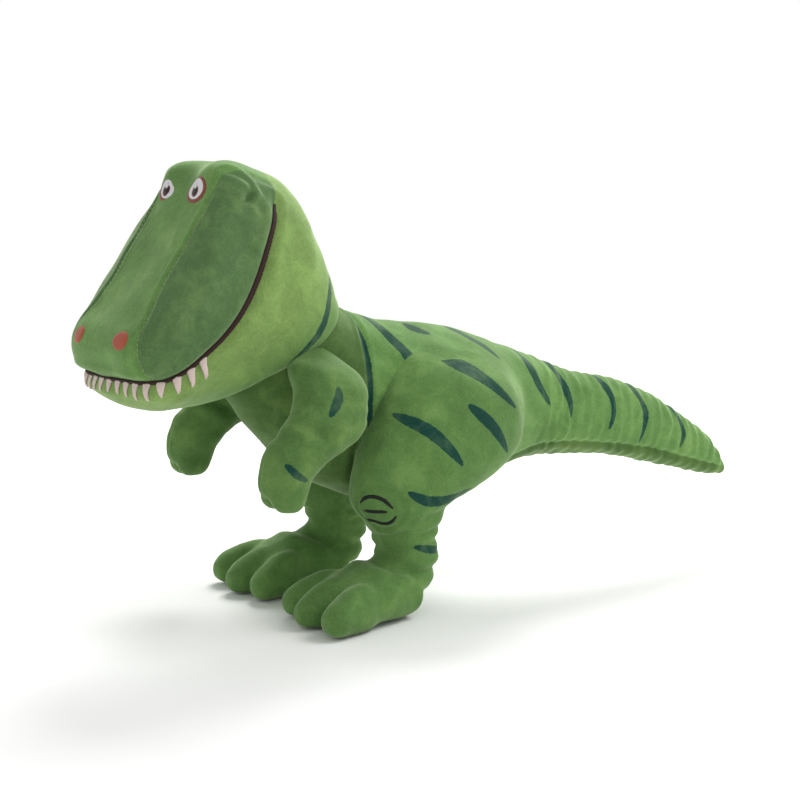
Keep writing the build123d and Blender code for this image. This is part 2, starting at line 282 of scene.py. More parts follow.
def to_line(points, line):
    """The nearest distance from points to a polyline, and how far along it that lies, 0 to 1."""
    line = np.array(line, float)
    steps = np.diff(line, axis=0)
    lengths = np.linalg.norm(steps, axis=1)
    before = np.concatenate([[0], np.cumsum(lengths)])
    best = np.full(len(points), 1e9)
    where = np.zeros(len(points))
    for i, (start, step, length) in enumerate(zip(line[:-1], steps, lengths)):
        t = np.clip(((points - start) @ step) / length**2, 0, 1)
        d = np.linalg.norm(points - (start + t[:, None] * step), axis=1)
        nearer = d < best
        best = np.where(nearer, d, best)
        where = np.where(nearer, (before[i] + t * length) / before[-1], where)
    return best, where


def side_distance(points, line):
    """Distance from points to a line of (X, Z), both seen from the side."""
    return to_line(points[:, [0, 2]], line)[0]


def rounded(line, count=40):
    return spline(line, np.linspace(0, 1, count))


def travelled(points):
    """How far along a path each of its points lies."""
    return np.concatenate([[0], np.cumsum(np.linalg.norm(np.diff(points, axis=0), axis=1))])


def at_each(at, far, rows):
    """The values of a path, given at distances far, at other distances along it."""
    return np.stack([np.interp(at, far, rows[:, k]) for k in range(3)], -1)


def note(obj, name, values):
    """Stores a number or a colour at each point of a skin, for its material."""
    values = np.asarray(values, float)
    if values.ndim == 1:
        obj.data.attributes.new(name, "FLOAT", "POINT").data.foreach_set("value", values)
    else:
        obj.data.attributes.new(name, "FLOAT_VECTOR", "POINT").data.foreach_set("vector", values.ravel())


# ---------------------------------------------------------------- patterns, in millimetres
# low (X, Z), high (X, Z), side, half width, taper, fullness; from back to front.
TRUNK = [
    ((-309, 69), (-307, 76), 0, 4, 0, 2.0),
    ((-306, 65), (-298, 88), 0, 11, 0, 2.1),
    ((-286, 67), (-283, 104), 0, 16, 0, 2.1),
    ((-255, 75), (-257, 121), 0, 19, 0, 2.0),
    ((-225, 82), (-228, 138), 0, 23, 0.05, 2.1),
    ((-186, 91), (-188, 152), 0, 27, 0.08, 2.1),
    ((-145, 95), (-148, 161), 0, 31, 0.10, 2.1),
    ((-112, 95), (-116, 172), 0, 36, 0.12, 2.1),
    ((-80, 90), (-86, 184), 0, 47, 0.14, 2.1),
    ((-50, 83), (-58, 194), 0, 57, 0.16, 2.1),
    ((-8, 75), (-28, 201), 0, 64, 0.20, 2.1),
    ((34, 77), (2, 205), 0, 62, 0.22, 2.1),
    ((70, 89), (18, 207), 0, 57, 0.20, 2.1),
    ((98, 109), (30, 210), 0, 55, 0.18, 2.1),
    ((121, 132), (42, 213), 0, 53, 0.14, 2.0),
    ((135, 152), (50, 216), 0, 52, 0.10, 2.0),
    ((143, 167), (57, 220), 0, 52, 0.06, 2.0),
]
HEAD = [
    ((143, 167), (58, 220), 0, 52, 0.06, 2.0),
    ((151, 163), (67, 238), 0, 57, 0.06, 2.1),
    ((161, 159), (78, 261), 0, 62, 0.08, 2.2),
    ((175, 157), (90, 289), 0, 66, 0.10, 2.3),
    ((188, 156), (111, 310), 0, 68, 0.15, 2.5),
    ((200, 156), (138, 319), 0, 69, 0.20, 2.7),
    ((209, 157), (158, 317), 0, 69, 0.20, 3.0),
    ((216, 159), (174, 301), 0, 68, 0.16, 3.1),
    ((222, 162), (188, 277), 0, 66, 0.12, 3.1),
    ((227, 167), (204, 253), 0, 63, 0.09, 3.1),
    ((232, 173), (218, 235), 0, 57, 0.06, 2.6),
    ((236, 180), (228, 221), 0, 50, 0.04, 2.5),
    ((239, 188), (235, 213), 0, 40, 0.03, 2.4),
    ((241, 196), (239, 207), 0, 26, 0, 2.2),
]
MOUTH = [(262, 176), (236, 177), (212, 184), (187, 202), (168, 223), (154, 244), (142, 268), (129, 294)]
KNEE = np.array([61.0, 76.0, 81.0])
KNEE_FACES = np.array([0.5, 0.86, 0.1])
ARM = [
    ((92, 191), (106, 191), 52, 8, 0, 2.0),
    ((77, 183), (118, 185), 60, 17, 0, 2.1),
    ((70, 171), (121, 173), 69, 21, 0, 2.1),
    ((71, 156), (123, 160), 75, 21, 0, 2.1),
    ((76, 142), (131, 150), 79, 20, 0, 2.1),
    ((88, 130), (138, 142), 80, 18.5, 0, 2.1),
    ((104, 121), (146, 134), 80, 17.5, 0, 2.1),
    ((115, 111), (151, 122), 79, 17, 0, 2.1),
    ((118, 104), (152, 111), 79, 16, 0, 2.1),
    ((120, 98), (150, 102), 79, 14, 0, 2.0),
    ((127, 94), (142, 95), 79, 6, 0, 2.0),
]
LEG = [
    ((-46, 176), (-4, 186), 34, 8, 0, 2.0),
    ((-62, 163), (18, 178), 42, 24, 0, 2.0),
    ((-70, 142), (40, 161), 50, 32, 0, 2.1),
    ((-62, 114), (58, 133), 56, 33, 0, 2.1),
    ((-40, 97), (69, 110), 58, 32, 0, 2.1),
    ((-5, 78), (70, 86), 57, 28, 0, 2.1),
    ((4, 60), (56, 67), 54, 23, 0, 2.1),
    ((3, 45), (48, 52), 53, 21, 0, 2.1),
    ((5, 32), (48, 40), 53, 21, 0, 2.1),
    ((10, 18), (52, 24), 53, 20, 0, 2.0),
]
# The foot and its toes run forward: low (X, Z), high (X, Z), side, half width, taper, fullness.
FOOT = [
    ((22, 12), (21, 20), 56, 8, 0, 2.0),
    ((27, 3), (24, 29), 56, 21, 0.1, 2.1),
    ((34, 0), (34, 44), 55, 26, 0.25, 2.3),
    ((56, 0), (55, 44), 58, 33, 0.30, 2.3),
    ((76, 0), (75, 38), 59, 35, 0.25, 2.3),
    ((90, 1), (90, 28), 58, 30, 0.2, 2.2),
    ((97, 8), (97, 18), 58, 20, 0, 2.0),
]
TOE_MIDDLES = (-25, 0, 28)
TOE_REACH = (-4, 3, -3)
# Printed stripes as lines of (X, Z) seen from the side, each with its half width at the middle.
TRUNK_STRIPES = [
    ([(53, 218), (51, 192), (53, 152), (55, 128)], 2.4),
    ([(38, 216), (23, 193), (16, 172), (13, 148)], 3.8),
    ([(4, 203), (-10, 195)], 3.0),
    ([(-34, 202), (-51, 186), (-62, 174)], 3.4),
    ([(2, 183), (-28, 168), (-54, 145)], 4.4),
    ([(-93, 180), (-101, 157), (-112, 138)], 3.8),
    ([(-124, 172), (-132, 147), (-134, 126)], 3.6),
    ([(-168, 162), (-178, 136), (-172, 112)], 3.2),
    ([(-202, 152), (-212, 126), (-206, 100)], 3.0),
    ([(-244, 132), (-254, 109), (-251, 92)], 2.6),
]
HEAD_STRIPES = [
    ([(78, 246), (90, 222), (103, 203), (124, 186)], 3.2),
]
LEG_STRIPES = [
    ([(2, 183), (-28, 168), (-54, 145)], 4.4),
    ([(-7, 152), (-27, 135), (-43, 114)], 4.4),
    ([(45, 147), (23, 134), (1, 110)], 4.6),
    ([(44, 95), (27, 87), (4, 87), (-12, 92)], 3.8),
    ([(32, 53), (8, 47), (-6, 48)], 2.8),
]
ARM_STRIPES = [
    ([(99, 172), (101, 163), (109, 153)], 3.2),
    ([(141, 124), (133, 116), (124, 111)], 2.6),
]


def printed(points, stripes):
    """How far inside a printed stripe each point lies, seen from the side."""
    inside = np.full(len(points), -30.0)
    flat = points[:, [0, 2]]
    for line, half in stripes:
        far, where = to_line(flat, rounded(line))
        width = half * np.sqrt(np.clip(1 - (2 * where - 1) ** 2, 0, 1)) * (0.8 + 0.4 * (1 - where))
        inside = np.maximum(inside, width - far)
    return inside


def lumps(points, size, seed):
    """Gentle uneven filling, from -1 to 1, made of waves in many directions."""
    random = np.random.default_rng(seed)
    total = np.zeros(len(points))
    for _ in range(14):
        direction = random.normal(size=3)
        direction /= np.linalg.norm(direction)
        wavelength = size * random.uniform(0.6, 1.6)
        total += np.sin(points @ direction * 2 * math.pi / wavelength + random.uniform(0, 7))
    return total / 5


def groove(distance, depth, width):
    """A sewn-in valley with the fabric swelling a little on each side of it."""
    d = np.abs(distance) / width
    return -depth * np.exp(-d**2) + 0.35 * depth * np.exp(-((d - 2.2) ** 2))


def puff(obj, amount):
    """Moves each point out along the skin by its own amount, in millimetres."""
    reshape(obj, corners(obj) + normals(obj) * np.asarray(amount)[:, None])


# ---------------------------------------------------------------- the skins
NECK_MIDDLE = np.array([100.0, 0.0, 193.5])
NECK_AXIS = np.array([0.525, 0.0, 0.851])
AROUND_TRUNK, ALONG_TRUNK = 176, 320
AROUND_HEAD, ALONG_HEAD = 240, 270
# The seam of the belly and tail under panels, as (X, Z) from the tail tip to the chest, then up it.
SEAM_SIDE = [
    (-309, 70), (-283, 76), (-225, 93), (-186, 101), (-145, 106),
    (-112, 107), (-80, 101), (-40, 92), (20, 88), (60, 98),
]
SEAM_FRONT = [(60, 98), (64, 118), (53, 155), (49, 216)]


def below_seam(p):
    """Distance inside the belly and tail under panels, seen from the side, negative on the side panels."""
    side, front = np.array(SEAM_SIDE, float), np.array(SEAM_FRONT, float)
    far = side_distance(p, np.concatenate([side, front[1:]]))
    under = p[:, 2] < np.interp(p[:, 0], side[:, 0], side[:, 1], right=90)
    ahead = (p[:, 2] > 98) & (p[:, 0] > np.interp(p[:, 2], front[:, 1], front[:, 0]))
    return np.where(under | ahead | ((p[:, 0] > 60) & (p[:, 2] <= 98)), far, -far)


def tuck(points, ring, inward, along):
    """Turns the edge of a skin in at the neck seam, as a seam allowance."""
    middle = points[ring].mean(0)
    out = points[ring] - middle
    out /= np.linalg.norm(out, axis=1)[:, None]
    points[ring] += -inward * out + along * NECK_AXIS


class Surface:
    """A finished skin that other pieces are laid on, in pattern millimetres."""

    def __init__(self, obj):
        points = corners(obj)
        faces = [tuple(f.vertices) for f in obj.data.polygons]
        self.tree = BVHTree.FromPolygons([Vector(v) for v in points], faces)

    def cast(self, start, direction):
        hit, normal, _, _ = self.tree.ray_cast(Vector(start), Vector(direction).normalized())
        return np.array(hit), np.array(normal)

    def nearest(self, point):
        hit, normal, _, _ = self.tree.find_nearest(Vector(point))
        return np.array(hit), np.array(normal)


def unit(v):
    v = np.array(v, float)
    return v / np.linalg.norm(v)


def trunk_skin():
    verts, faces = sewn_tube(TRUNK, ALONG_TRUNK, AROUND_TRUNK)
    obj = skin("trunk", verts, [f for f in faces if len(f) == 4 or (ALONG_TRUNK * AROUND_TRUNK) in f])
    p = corners(obj)
    seam = np.abs((p - NECK_MIDDLE) @ NECK_AXIS)
    swell = (0.9 * lumps(p, 55, 3) + 0.4 * lumps(p, 22, 4)) * smooth(0, 22, seam)
    # gathers run round the tail where its cover is pulled onto the filling
    tail = smooth(-90, -125, p[:, 0])
    ring = p[:, 0] + 0.18 * (p[:, 2] - 120) + 1.5 * lumps(p, 40, 5)
    fine = 0.45 * np.sin(ring * 2 * math.pi / 7.3 + 1) * lumps(p, 25, 6)
    swell += tail * (0.5 * np.sin(ring * 2 * math.pi / 11) + fine)
    under = below_seam(p)
    swell += groove(under, 1.5, 2.2) * smooth(-306, -290, p[:, 0])
    swell += groove(seam, 1.1, 3.5)
    for side in (1, -1):
        pull = to_line(p, [(70, side * 60, 205), (62, side * 62, 170), (66, side * 60, 140)])[0]
        swell += groove(pull, 1.6, 4.5) * smooth(0, 25, seam)
    puff(obj, swell)
    p = corners(obj)
    last = (ALONG_TRUNK - 1) * AROUND_TRUNK
    tuck(p, slice(last, last + AROUND_TRUNK), 1.4, 1.2)
    tuck(p, slice(last - AROUND_TRUNK, last), 0.3, 0.3)
    reshape(obj, p)
    note(obj, "under", under)
    note(obj, "stripe", printed(p, TRUNK_STRIPES))
    note(obj, "rest", p * MM)
    along = (p - NECK_MIDDLE) @ NECK_AXIS
    reshape(obj, turned(p, smooth(-40, -1, along)))
    return obj


def stretch(obj, every, name, first, last):
    """The rings from first to last of the trunk skin as a piece, shaded as part of the whole."""
    used = np.zeros(len(obj.data.vertices), bool)
    used[first * AROUND_TRUNK:(last + 1) * AROUND_TRUNK] = True
    if first == 0:
        used[ALONG_TRUNK * AROUND_TRUNK] = True
    copy = copied(obj, name)
    sheet = bmesh.new()
    sheet.from_mesh(copy.data)
    sheet.verts.ensure_lookup_table()
    bmesh.ops.delete(sheet, geom=[sheet.verts[i] for i in np.flatnonzero(~used)], context="VERTS")
    sheet.to_mesh(copy.data)
    sheet.free()
    copy.data.normals_split_custom_set_from_vertices(every[used].tolist())
    return copy


def meld(p, n, other, reach, allowed):
    """Fills the crease where a skin runs into another one; returns its new points and normals."""
    near = np.flatnonzero(allowed > 0)
    blended = n.copy()
    moved = p.copy()
    for i in near:
        hit, out = other.nearest(p[i])
        gap = abs(float((p[i] - hit) @ out)) if np.linalg.norm(p[i] - hit) < 2 * reach else 2 * reach
        full = max(0.0, 1 - gap / reach) * allowed[i]
        if full > 0:
            blended[i] = unit(n[i] * (1 - full / 2) + out * full / 2)
            moved[i] = p[i] + blended[i] * full**2 * reach / 4
    return moved, blended


SHOULDER_REACH, HIP_REACH = 20.0, 26.0


def sew_arm(trunk, arm):
    """The shoulder runs smoothly into the flank at its top."""
    p = corners(arm)
    allowed = smooth(146, 166, p[:, 2]) * (p[:, 1] > 30)
    points, blended = meld(p, normals(arm), Surface(trunk), SHOULDER_REACH, allowed)
    reshape(arm, points)
    return blended


def sew_leg(trunk, leg):
    """The thigh runs smoothly into the flank above and behind, and keeps its crease in front."""
    def allowed(p):
        box = (p[:, 0] > -110) & (p[:, 2] > 90)
        return smooth(46, 22, p[:, 0]) * smooth(100, 122, p[:, 2]) * box

    flank, thigh = Surface(trunk), Surface(leg)
    q = corners(leg)
    leg_points, leg_normals = meld(q, normals(leg), flank, HIP_REACH, allowed(q) * (q[:, 1] > 20))
    p, n = corners(trunk), normals(trunk)
    flip = np.stack([np.ones(len(p)), np.where(p[:, 1] < 0, -1, 1), np.ones(len(p))], 1)
    moved, blended = meld(p * flip, n * flip, thigh, HIP_REACH, allowed(p) * (np.abs(p[:, 1]) > 15))
    reshape(trunk, moved * flip)
    reshape(leg, leg_points)
    return blended * flip, leg_normals


BROW_FOLD = [(162, 36, 313), (152, 42, 309), (149, 46, 303), (153, 49, 296), (162, 48, 291)]
LIP_CREASE = [(152, 50, 299), (146, 55, 292), (147, 59, 284), (152, 61, 276)]


def head_skin():
    verts, faces = sewn_tube(HEAD, ALONG_HEAD, AROUND_HEAD)
    obj = skin("head_plush", verts, [f for f in faces if len(f) == 4 or (ALONG_HEAD * AROUND_HEAD + 1) in f])
    p = corners(obj)
    seam = np.abs((p - NECK_MIDDLE) @ NECK_AXIS)
    swell = (0.9 * lumps(p, 60, 11) + 0.35 * lumps(p, 25, 12)) * smooth(0, 22, seam) + groove(seam, 1.1, 3.5)
    for side in (1, -1):
        brow = np.linalg.norm((p - (168, side * 25, 314)) / (20, 17, 13), axis=1)
        swell += 8.0 * np.exp(-brow**2)
        socket = np.linalg.norm((p - (178, side * 24, 300)) / (10, 13, 12), axis=1)
        swell += -1.0 * np.exp(-socket**2)
        for line, depth, width in ((BROW_FOLD, 3.0, 2.6), (LIP_CREASE, 4.2, 3.6)):
            path = np.array(line) * (1, side, 1)
            swell += groove(to_line(p, rounded(path))[0], depth, width)
        cheek = np.linalg.norm((p - (185, side * 66, 235)) / (30, 30, 34), axis=1)
        swell += 3.5 * np.exp(-cheek**2)
        nose = np.linalg.norm((p - (236, side * 34, 206)) / (14, 20, 22), axis=1)
        swell += 3.0 * np.exp(-nose**2)
    flat = p[:, [0, 2]]
    mouth_far, mouth_at = to_line(flat, rounded(MOUTH))
    above = mouth_sign(p)
    fade = 1 - 0.35 * smooth(0.8, 1.0, mouth_at)
    swell += groove(mouth_far, 3.6, 3.4) * fade
    lip = 2.4 * np.exp(-(((-above) - 12) / 8) ** 2)
    swell += lip * smooth(-0.05, 0.2, mouth_at) * (1 - smooth(0.7, 0.95, mouth_at))
    strip = strip_seam(p)
    muzzle = smooth(0, 4, above)
    swell += groove(strip, 1.3, 1.7) * muzzle * smooth(318, 296, p[:, 2])
    puff(obj, swell)
    p = corners(obj)
    tuck(p, slice(0, AROUND_HEAD), 1.4, -1.2)
    tuck(p, slice(AROUND_HEAD, 2 * AROUND_HEAD), 0.3, -0.3)
    reshape(obj, p)
    note(obj, "above_mouth", above)
    note(obj, "outboard", strip)
    note(obj, "stripe", printed(p, HEAD_STRIPES))
    note(obj, "neck_fade", 0.9 * (1 - smooth(2, 36, seam)))
    note(obj, "rest", p * MM)
    return obj


def mouth_sign(p):
    """Distance above (ahead of) the mouth line, negative on the jaw, seen from the side."""
    line = rounded(MOUTH + [(122, 330)], 80)
    far = side_distance(p, line)
    at = np.interp(p[:, 2], line[:, 1], line[:, 0])
    low = np.interp(p[:, 0], line[::-1, 0], line[::-1, 1])
    ahead = (p[:, 0] > at) & (p[:, 2] > low)
    return np.where(ahead, far, -far)


def strip_half(z):
    """Half the width of the forehead strip, narrowest across the bridge of the snout."""
    return np.interp(z, [150, 175, 206, 240, 290, 320], [53, 50, 43, 35, 36, 35])


def strip_seam(p):
    """Distance outboard of the seam between the forehead strip and the cheek."""
    return np.abs(p[:, 1]) - strip_half(p[:, 2])


def mirrored(obj, name):
    """The same skin for the toy's right side."""
    copy = copied(obj, name)
    points = corners(copy)
    points[:, 1] *= -1
    copy.data.flip_normals()
    reshape(copy, points)
    return copy


HAND_SIDE, FINGER_GAP = 79, 7.5
ARM_VOXEL, LEG_VOXEL = 0.0016, 0.002
TOE_SIDE, TOE_SPLAY = 57, 0.16
SOLE_GAP = 0.15


def arm_skin():
    parts = [sewn_tube(ARM, 90, 70)]
    for side in (HAND_SIDE - FINGER_GAP, HAND_SIDE + FINGER_GAP):
        finger = [
            ((122, 107), (146, 109), side, 6, 0, 2.0),
            ((122, 100), (148, 102), side, 9, 0, 2.0),
            ((125, 94), (147, 95), side, 8.5, 0, 2.0),
            ((130, 90), (142, 90), side, 4, 0, 2.0),
        ]
        parts.append(sewn_tube(finger, 20, 28))
    obj = joined("left_arm_plush", parts)
    modified(obj, "REMESH", mode="VOXEL", voxel_size=ARM_VOXEL)
    modified(obj, "SMOOTH", factor=0.5, iterations=8)
    p = corners(obj)
    swell = 0.7 * lumps(p, 34, 21) + 0.3 * lumps(p, 14, 22)
    elbow = side_distance(p, [(124, 148), (112, 140)])
    swell += groove(elbow, 2.4, 4.0)
    for shift, depth in ((0, 0.9), (7, 0.6), (-8, 0.5)):
        fold = side_distance(p, [(72, 150 + shift), (92, 146 + shift * 0.6)])
        swell += groove(fold, depth, 2.6)
    swell += groove(p[:, 1] - HAND_SIDE, 0.7, 1.3) * smooth(150, 110, p[:, 2])
    puff(obj, swell)
    p = corners(obj)
    note(obj, "stripe", printed(p, ARM_STRIPES) - 30 * (p[:, 1] < 70))
    note(obj, "rest", p * MM)
    return obj


# Folds in front of and behind the shin: from (X, Z), to (X, Z), depth.
SHIN_FOLDS = (
    ((2, 66), (26, 60), 1.4),
    ((4, 56), (22, 52), 1.1),
    ((40, 62), (56, 58), 1.2),
    ((38, 52), (50, 50), 0.9),
)


def leg_skin():
    parts = [sewn_tube(LEG, 110, 90), sewn_tube(FOOT, 60, 80)]
    for middle, reach in zip(TOE_MIDDLES, TOE_REACH):
        side = TOE_SIDE + middle
        tip = side + TOE_SPLAY * middle
        toe = [
            ((62, 1), (62, 32), TOE_SIDE + 0.55 * middle, 11, 0.1, 2.1),
            ((78 + reach, 0), (78 + reach, 34), TOE_SIDE + 0.85 * middle, 14, 0.15, 2.2),
            ((94 + reach, 0), (93 + reach, 31), side, 14.5, 0.15, 2.2),
            ((106 + reach, 1), (105 + reach, 24), tip, 12.5, 0.1, 2.2),
            ((113 + reach, 5), (113 + reach, 17), tip, 7, 0, 2.0),
        ]
        parts.append(sewn_tube(toe, 36, 36))
    obj = joined("left_leg_plush", parts)
    modified(obj, "REMESH", mode="VOXEL", voxel_size=LEG_VOXEL)
    modified(obj, "SMOOTH", factor=0.5, iterations=10)
    p = corners(obj)
    swell = 0.9 * lumps(p, 42, 31) + 0.3 * lumps(p, 16, 32)
    swell *= smooth(1.0, 8.0, p[:, 2])
    ankle = side_distance(p, rounded([(4, 34), (24, 33), (44, 38), (62, 46)]))
    swell += groove(ankle, 2.6, 3.2)
    behind_knee = side_distance(p, rounded([(-14, 82), (6, 76), (24, 74)]))
    swell += groove(behind_knee, 1.8, 4.0)
    for start, end, depth in SHIN_FOLDS:
        swell += groove(side_distance(p, [start, end]), depth, 2.6)
    knee = np.linalg.norm(p - KNEE, axis=1)
    swell += groove(knee - 18, 1.3, 1.6) + 2.4 * np.exp(-((knee / 16) ** 2))
    puff(obj, swell)
    p = corners(obj)
    p[:, 2] = np.maximum(p[:, 2], SOLE_GAP)
    reshape(obj, p)
    note(obj, "stripe", printed(p, LEG_STRIPES) - 30 * (p[:, 1] < 52))
    # the bottom of the foot takes the under panels' darker green, partly painted shade
    note(obj, "under", smooth(6, 2, p[:, 2]) * 2 - 1)
    note(obj, "rest", p * MM)
    return obj


# ---------------------------------------------------------------- face, stitching and patches
def mouth_path(head):
    """Points and normals round the mouth, from the left corner by the front to the right corner."""
    line = rounded(MOUTH, 400)
    left = []
    for x, z in line[::-1]:
        if x < 214 and z < 292:
            hit, normal = head.cast((x, 150, z), (0, -1, 0))
            if hit.shape:
                left.append((hit, normal))
    middle = np.array([186.0, 0.0])
    first = left[-1][0]
    start = math.atan2(first[1], first[0] - middle[0])
    for turn in np.linspace(start, 0, 60)[1:]:
        away = np.array([math.cos(turn), math.sin(turn)])
        z = 178.0
        for _ in range(4):
            hit, normal = head.cast((*(middle + 120 * away), z), (*-away, 0))
            z = np.interp(hit[0], line[::-1, 0], line[::-1, 1])
        left.append((hit, normal))
    points = np.array([h for h, _ in left])
    normal = np.array([n for _, n in left])
    flip = np.array([1, -1, 1])
    points = np.concatenate([points, points[-2::-1] * flip])
    normal = np.concatenate([normal, normal[-2::-1] * flip])
    return evenly(points, normal, 1.2)


def evenly(points, normal, step):
    """The same path with its points a fixed step apart."""
    far = travelled(points)
    at = np.linspace(0, far[-1], int(far[-1] / step))
    points = at_each(at, far, points)
    normal = at_each(at, far, normal)
    for _ in range(3):
        points[1:-1] = (points[:-2] + 2 * points[1:-1] + points[2:]) / 4
    return points, normal / np.linalg.norm(normal, axis=1)[:, None]


def thread(points, normal, radius, flat=0.7, around=10, wrap=0.0):
    """A closed thread or cord laid along a path; wrap is how deep its twist shows."""
    radius = np.broadcast_to(radius, len(points))
    ahead = np.gradient(points, axis=0)
    ahead /= np.linalg.norm(ahead, axis=1)[:, None]
    side = np.cross(ahead, normal)
    side /= np.linalg.norm(side, axis=1)[:, None]
    up = np.cross(side, ahead)
    turn = np.arange(around) * 2 * math.pi / around
    far = travelled(points)
    verts = []
    for p, s, u, r, d in zip(points, side, up, radius, far):
        r = r * (1 + wrap * np.sin(turn * 2 + d * 2 * math.pi / 3.0))
        verts.append(p + np.outer(r * np.cos(turn), s) + np.outer(flat * r * np.sin(turn), u))
    first = points[:1] - ahead[:1] * radius[0] * 0.5
    last = points[-1:] + ahead[-1:] * radius[-1] * 0.5
    return np.concatenate([*verts, first, last]), tube_faces(len(points), around)


def stitches(surface, points, length, gap, radius, lift=0.25):
    """Short threads in a row along a path on a skin."""
    far = travelled(points)
    parts = []
    for start in np.arange(0, far[-1] - length, length + gap):
        at = np.linspace(start, start + length, 5)
        run = at_each(at, far, points)
        near = [surface.nearest(p) for p in run]
        bow = np.array([-0.3, 1, 1.3, 1, -0.3]) * lift
        run = np.array([h + n * b for (h, n), b in zip(near, bow)])
        thick = radius * np.array([0.6, 1, 1.1, 1, 0.6])
        parts.append(thread(run, np.array([n for _, n in near]), thick, 0.9, 6))
    return parts


def patch(surface, middle, look, outline, height, lift=0.0, rings=14, around=56, dome=6):
    """A padded embroidery patch laid on a skin: outline is its radius at each turn from the right."""
    hit, normal = surface.cast(np.array(middle) + 60 * unit(look), -unit(look))
    up = unit(np.array([0, 0, 1.0]) - normal * normal[2])
    right = np.cross(up, normal)
    turn = np.arange(around) * 2 * math.pi / around
    reach = outline(turn)
    top, bottom, faces = [hit + normal * (lift + height)], [], []
    for ring in range(1, rings + 1):
        share = ring / rings
        for t, r in zip(turn, reach):
            flat = hit + right * r * share * math.cos(t) + up * r * share * math.sin(t)
            near, n = surface.nearest(flat)
            top.append(near + n * (lift + height * max(0.0, 1 - share**dome)))
            if ring == rings:
                bottom.append(near - n * 0.6)
    verts = np.array(top + bottom)
    for j in range(around):
        k = (j + 1) % around
        faces.append([0, 1 + j, 1 + k])
        for ring in range(rings):
            a, b = 1 + ring * around, 1 + (ring + 1) * around
            faces.append([a + j, b + j, b + k, a + k])
    faces.append([1 + rings * around + j for j in range(around)][::-1])
    return verts, faces


def egg(wide, tall, tilt=0.0, point=0.0):
    """A rounded outline, taller or wider, leaning, with one blunter end."""
    def outline(turn):
        t = turn - tilt
        r = 1 / np.sqrt((np.cos(t) / wide) ** 2 + (np.sin(t) / tall) ** 2)
        return r * (1 + point * np.sin(t))
    return outline


def tooth(surface, base, normal, ahead, wide, tall, lean):
    """A felt tooth hanging from the mouth cord, lying on the jaw."""
    down = unit(np.array([0, 0, -1.0]) + normal * normal[2])
    across = unit(np.cross(normal, down))
    if across @ ahead < 0:
        across = -across
    columns, rows = 7, 9
    outer, inner = [], []
    for v in np.linspace(0, 1, rows):
        for u in np.linspace(-1, 1, columns):
            half = wide / 2 * (1 - v) ** 0.85 + 0.35
            spot = base + across * (u * half + lean * v * v) + down * (v * tall + 0.2)
            near, n = surface.nearest(spot)
            edge = 0.35 * (abs(u) ** 4) + 0.25 * v**6
            outer.append(near + n * (1.5 - edge))
            inner.append(near + n * (0.1 + 0.2 * edge))
    verts = np.array(outer + inner)
    faces = []
    count = columns * rows
    for i in range(rows - 1):
        for j in range(columns - 1):
            a = i * columns + j
            faces.append([a, a + 1, a + columns + 1, a + columns])
            faces.append([a + count, a + columns + count, a + columns + 1 + count, a + 1 + count])
    loop = list(range(columns))
    loop += [i * columns + columns - 1 for i in range(1, rows)]
    loop += [(rows - 1) * columns + j for j in range(columns - 2, -1, -1)]
    loop += [i * columns for i in range(rows - 2, 0, -1)]
    for a, b in zip(loop, loop[1:] + loop[:1]):
        faces.append([b, a, a + count, b + count])
    return verts, faces


def gathered(name, parts):
    """Several closed shells as one piece, with outward faces."""
    obj = joined(name, parts)
    shell = bmesh.new()
    shell.from_mesh(obj.data)
    bmesh.ops.recalc_face_normals(shell, faces=shell.faces)
    shell.to_mesh(obj.data)
    shell.free()
    note(obj, "rest", corners(obj) * MM)
    return obj


def both_sides(parts):
    """Shells for the toy's left side, and the same shells for its right side."""
    right = [(verts * np.array([1, -1, 1]), [f[::-1] for f in faces]) for verts, faces in parts]
    return ("left", parts), ("right", right)


# ---------------------------------------------------------------- finishes
def feed(tree, socket, value):
    """Gives an input its number, its colour or its link."""
    if isinstance(value, (int, float, tuple)):
        socket.default_value = value
    else:
        tree.links.new(value, socket)


def node(tree, kind, inputs=(), **settings):
    made = tree.nodes.new(kind)
    for key, value in settings.items():
        setattr(made, key, value)
    for key, value in dict(inputs).items():
        feed(tree, made.inputs[key], value)
    return made


def maths(tree, operation, *values):
    """One sum of numbers or sockets."""
    return node(tree, "ShaderNodeMath", enumerate(values), operation=operation).outputs[0]


def speckle(tree, where, scale, detail=2.0, rough=0.5, distort=0.0):
    inputs = {"Vector": where, "Scale": scale, "Detail": detail, "Roughness": rough, "Distortion": distort}
    return node(tree, "ShaderNodeTexNoise", inputs).outputs["Fac"]


def mixed(tree, factor, a, b, how="MIX"):
    """Two colours mixed; factor, a and b are numbers, colours or sockets."""
    inputs = {0: factor, 6: a, 7: b}
    return node(tree, "ShaderNodeMix", inputs, data_type="RGBA", blend_type=how).outputs[2]


def toned(tree, colour, shade):
    """A colour made brighter or darker by a number."""
    bright = node(tree, "ShaderNodeCombineColor", {0: shade, 1: shade, 2: shade})
    return mixed(tree, 1.0, colour, bright.outputs[0], "MULTIPLY")


COLOUR, VECTOR, NUMBER = "NodeSocketColor", "NodeSocketVector", "NodeSocketFloat"


def new_group(name, inputs, outputs):
    """A shader node group with its sockets: the group, what comes into it and what goes out."""
    group = bpy.data.node_groups.new(name, "ShaderNodeTree")
    for label, kind, value in inputs:
        socket = group.interface.new_socket(name=label, in_out="INPUT", socket_type=kind)
        if value is not None:
            socket.default_value = value
    for label, kind in outputs:
        group.interface.new_socket(name=label, in_out="OUTPUT", socket_type=kind)
    into, out = group.nodes.new("NodeGroupInput"), group.nodes.new("NodeGroupOutput")
    return group, into.outputs, out.inputs


